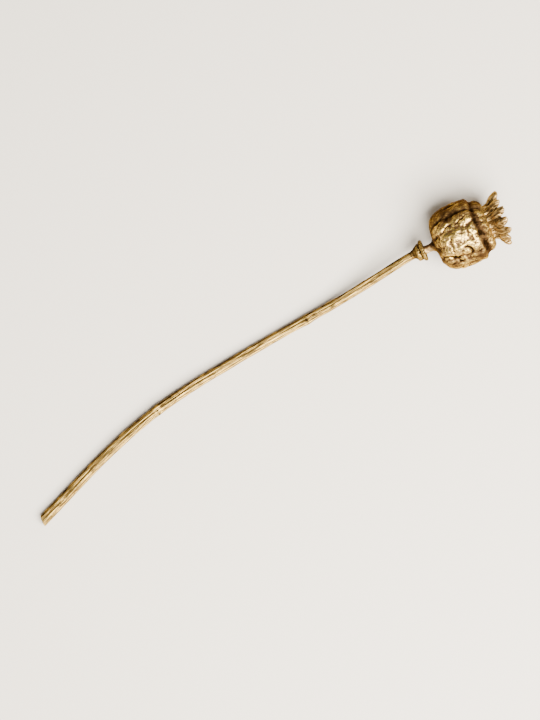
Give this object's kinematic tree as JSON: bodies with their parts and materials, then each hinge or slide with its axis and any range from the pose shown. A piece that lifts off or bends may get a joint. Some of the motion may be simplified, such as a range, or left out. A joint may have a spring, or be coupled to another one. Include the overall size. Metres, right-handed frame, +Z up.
{
  "type": "poppy seed head",
  "caption": "Dried poppy seed head lying on its side: wrinkled urn-shaped capsule with a flared crown of rays, ringed collar and long, gently bent cut stem, in satin gold.",
  "frame": {"origin": "middle of the flat spot that the capsule lies on", "axes": "+X along the stem towards the crown, +Z up from the surface"},
  "size_m": [0.2528, 0.0301, 0.0296],
  "materials": {
    "stem_gold": "dry plant stalk under thin gold spray paint, satin metallic, pale along its ridges and browner in its grooves",
    "capsule_gold": "dried, wrinkled capsule wall under gold spray paint, bright satin metallic, brown in its folds",
    "crown_gold": "dried stigma disc under thin gold spray paint, dull metallic, brown between its rays"
  },
  "bodies": {
    "root": {"stem": "stem_gold", "capsule": "capsule_gold", "crown": "crown_gold"}
  },
  "joints": []
}
